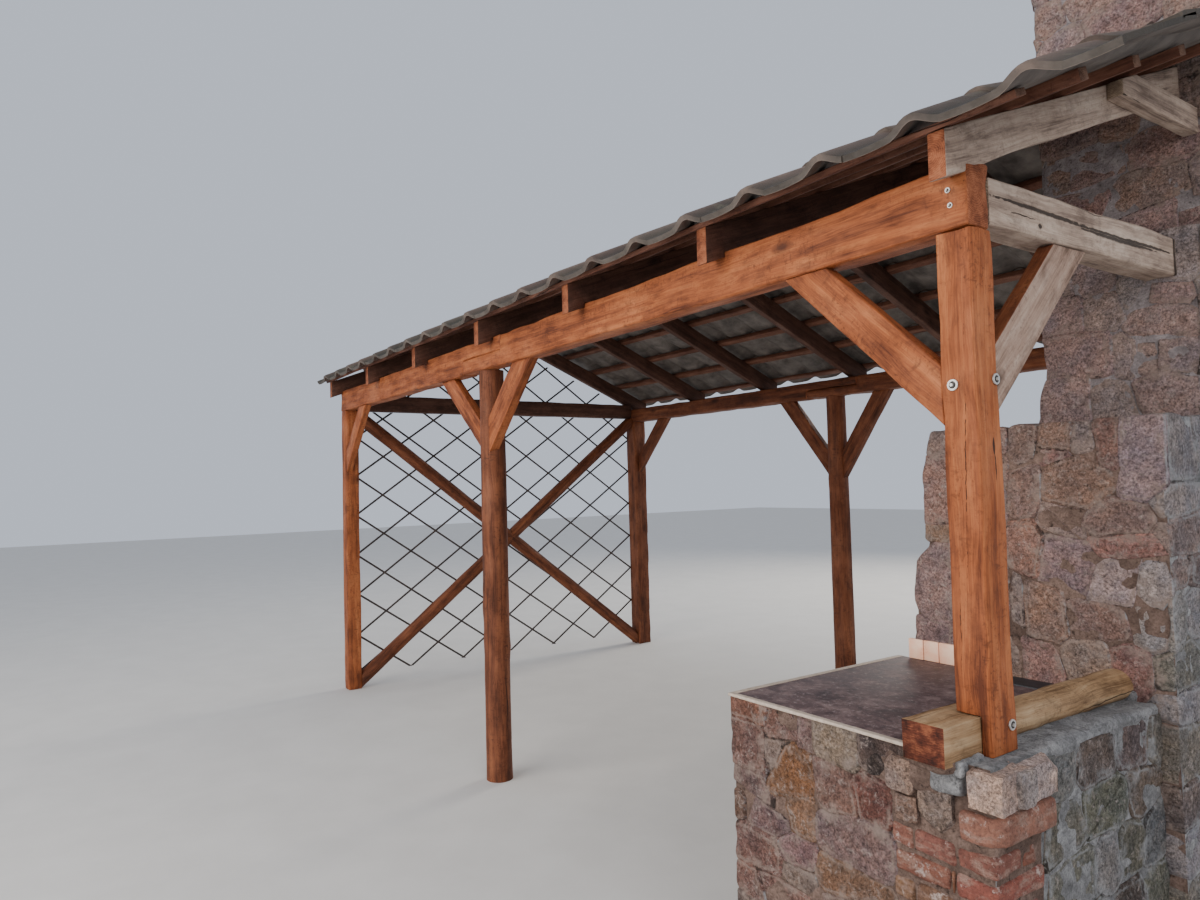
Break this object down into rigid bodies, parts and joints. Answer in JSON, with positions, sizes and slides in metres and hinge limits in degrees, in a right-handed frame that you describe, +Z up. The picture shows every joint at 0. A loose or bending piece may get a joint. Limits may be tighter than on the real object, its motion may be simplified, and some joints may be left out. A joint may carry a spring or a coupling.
{
  "type": "garden pergola",
  "caption": "Timber-framed garden pergola with a gable roof of wave tiles, crossed logs and lattice in the far end, and a stone counter and stove with chimney at the near end.",
  "frame": {"origin": "on the ground under the middle of the roof's length and under the ridge line", "axes": "+X along the ridge towards the stove end, -Y towards the open front, +Z up"},
  "size_m": [6.15, 3.3879, 3.85],
  "materials": {
    "stained_timber": "orange-brown stain, worn",
    "weathered_timber": "weathered grey-brown with drying cracks",
    "dark_timber": "dark brown stain, sawn",
    "old_timber": "dark olive-brown hewn log",
    "roof_tile": "matt fired clay, grey-brown",
    "field_stone": "rough field stone and brick in raised mortar",
    "slab_stone": "purple-brown slab, smoothed"
  },
  "bodies": {
    "root": {"post_front_far": "stained_timber", "post_front_mid": "stained_timber", "post_front_near": "stained_timber", "post_back_far": "stained_timber", "post_back_mid": "stained_timber", "post_back_near": "stained_timber", "plate_front_far": "stained_timber", "plate_front_near": "stained_timber", "plate_back_far": "stained_timber", "plate_back_near": "stained_timber", "tie_beam_far": "dark_timber", "beam_near_front": "weathered_timber", "beam_near_back": "weathered_timber", "brace_front_far": "stained_timber", "brace_front_mid_left": "stained_timber", "brace_front_mid_right": "stained_timber", "brace_front_near": "stained_timber", "brace_near_end": "weathered_timber", "brace_back_far": "stained_timber", "brace_back_mid_left": "stained_timber", "brace_back_mid_right": "stained_timber", "brace_back_near": "stained_timber", "cross_log_falling": "stained_timber", "cross_log_rising": "stained_timber", "lattice_lower": "dark_timber", "lattice_gable": "dark_timber", "rafters_front": "dark_timber", "rafters_back": "dark_timber", "collar_near": "weathered_timber", "battens_front": "dark_timber", "battens_back": "dark_timber", "roof_front": "roof_tile", "roof_back": "roof_tile", "ridge_cap": "roof_tile", "counter_wall_near": "field_stone", "counter_wall_front": "field_stone", "counter_wall_far": "field_stone", "counter_slab": "slab_stone", "sill_timber": "old_timber", "stove_body": "field_stone", "chimney_breast": "field_stone", "chimney_stack": "field_stone"}
  },
  "joints": []
}
